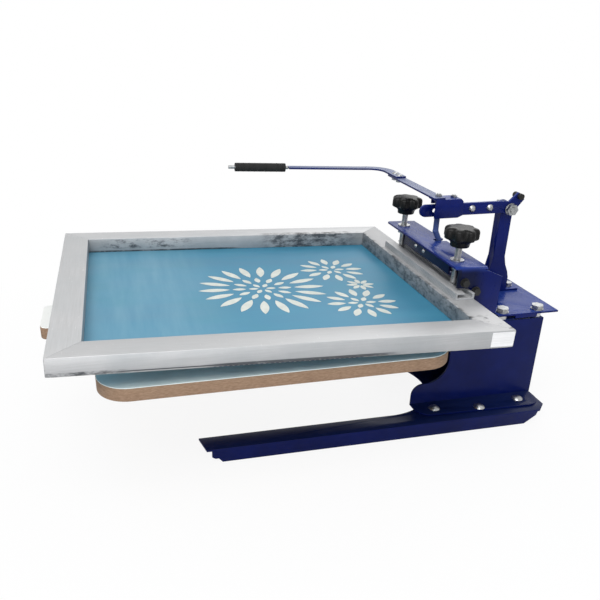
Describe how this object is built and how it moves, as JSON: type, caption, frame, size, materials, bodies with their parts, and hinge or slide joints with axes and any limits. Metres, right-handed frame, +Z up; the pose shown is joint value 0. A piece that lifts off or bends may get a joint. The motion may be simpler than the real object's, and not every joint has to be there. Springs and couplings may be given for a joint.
{
  "type": "screen printing table",
  "caption": "Tabletop screen printing press in blue steel with an aluminium screen frame, a wood board, two knob clamps and a lift lever with a foam grip",
  "frame": {"origin": "the middle of the overall plan on the table that the base stands on", "axes": "+X from the operator's end to the column, +Y to the left of someone looking along +X, +Z up"},
  "size_m": [0.828, 0.5, 0.3801],
  "materials": {
    "blue_paint": "gloss",
    "blue_paint_shaded": "gloss",
    "frame_aluminium": "satin",
    "rail_aluminium": "satin",
    "coated_mesh": "matte",
    "fibreboard": "matte",
    "laminate": "satin",
    "white_nylon": "satin",
    "black_plastic": "satin",
    "black_oxide": "satin",
    "black_rubber": "matte",
    "black_foam": "matte",
    "zinc": "satin"
  },
  "bodies": {
    "table": {"base_plate": "blue_paint", "column_side_right": "blue_paint", "column_side_left": "blue_paint", "column_back": "blue_paint", "column_top": "blue_paint", "foot_bolts": "zinc", "board_support": "blue_paint_shaded", "support_bolts": "zinc", "print_board": "fibreboard", "print_board_top": "laminate", "leveling_plate": "blue_paint", "leveling_bolts": "zinc", "leveling_spacers": "white_nylon", "hinge_ears": "blue_paint", "hinge_shaft": "zinc", "handle_post": "blue_paint", "plate_bolts": "zinc", "pivot_bolt": "zinc"},
    "screen_head": {"clamp_head": "blue_paint", "clamp_jaw": "blue_paint_shaded", "hinge_arms": "blue_paint_shaded", "cheek_bolts": "black_oxide", "head_hardware": "zinc", "clamp_rail": "rail_aluminium", "frame_front_bar": "frame_aluminium", "frame_rear_bar": "frame_aluminium", "frame_right_bar": "frame_aluminium", "frame_left_bar": "frame_aluminium", "screen_mesh": "coated_mesh"},
    "knob_right": {"clamp_screw_right": "zinc", "clamp_knob_right": "black_plastic"},
    "knob_left": {"clamp_screw_left": "zinc", "clamp_knob_left": "black_plastic"},
    "lift_lever": {"lever_arm": "blue_paint", "lever_screws": "zinc", "lever_bumper": "black_rubber", "handle_saddle": "blue_paint", "saddle_bolts": "zinc", "saddle_pin": "blue_paint", "handle_strap_lower": "blue_paint", "strap_bolts": "zinc", "handle_strap_upper": "blue_paint", "grip_stud": "zinc", "handle_grip": "black_foam"},
    "link": {"link_rod": "zinc"}
  },
  "joints": [
    {"name": "head_lift", "type": "hinge", "parent": "table", "child": "screen_head", "pos_m": [0.314, 0, 0.217], "axis": [0, 1, 0], "range_deg": [-1.7, 14]},
    {"name": "lever_lift", "type": "hinge", "parent": "table", "child": "lift_lever", "pos_m": [0.353, 0.017, 0.33], "axis": [0, 1, 0], "range_deg": [-0.85, 7]},
    {"name": "rod_swing", "type": "hinge", "parent": "lift_lever", "child": "link", "pos_m": [0.2173, 0.007, 0.3485], "axis": [0, 1, 0], "range_deg": [-22.12, 2.69]},
    {"name": "knob_right_turn", "type": "hinge", "parent": "screen_head", "child": "knob_right", "pos_m": [0.20357, -0.096, 0.30391], "axis": [0.0349, 0, 0.9994], "range_deg": [0, 360]},
    {"name": "knob_left_turn", "type": "hinge", "parent": "screen_head", "child": "knob_left", "pos_m": [0.20357, 0.096, 0.30391], "axis": [0.0349, 0, 0.9994], "range_deg": [0, 360]}
  ],
  "couplings": [
    {"joint": "lever_lift", "follows": "head_lift", "ratio": 0.5},
    {"joint": "rod_swing", "follows": "head_lift", "ratio": -1.58}
  ]
}
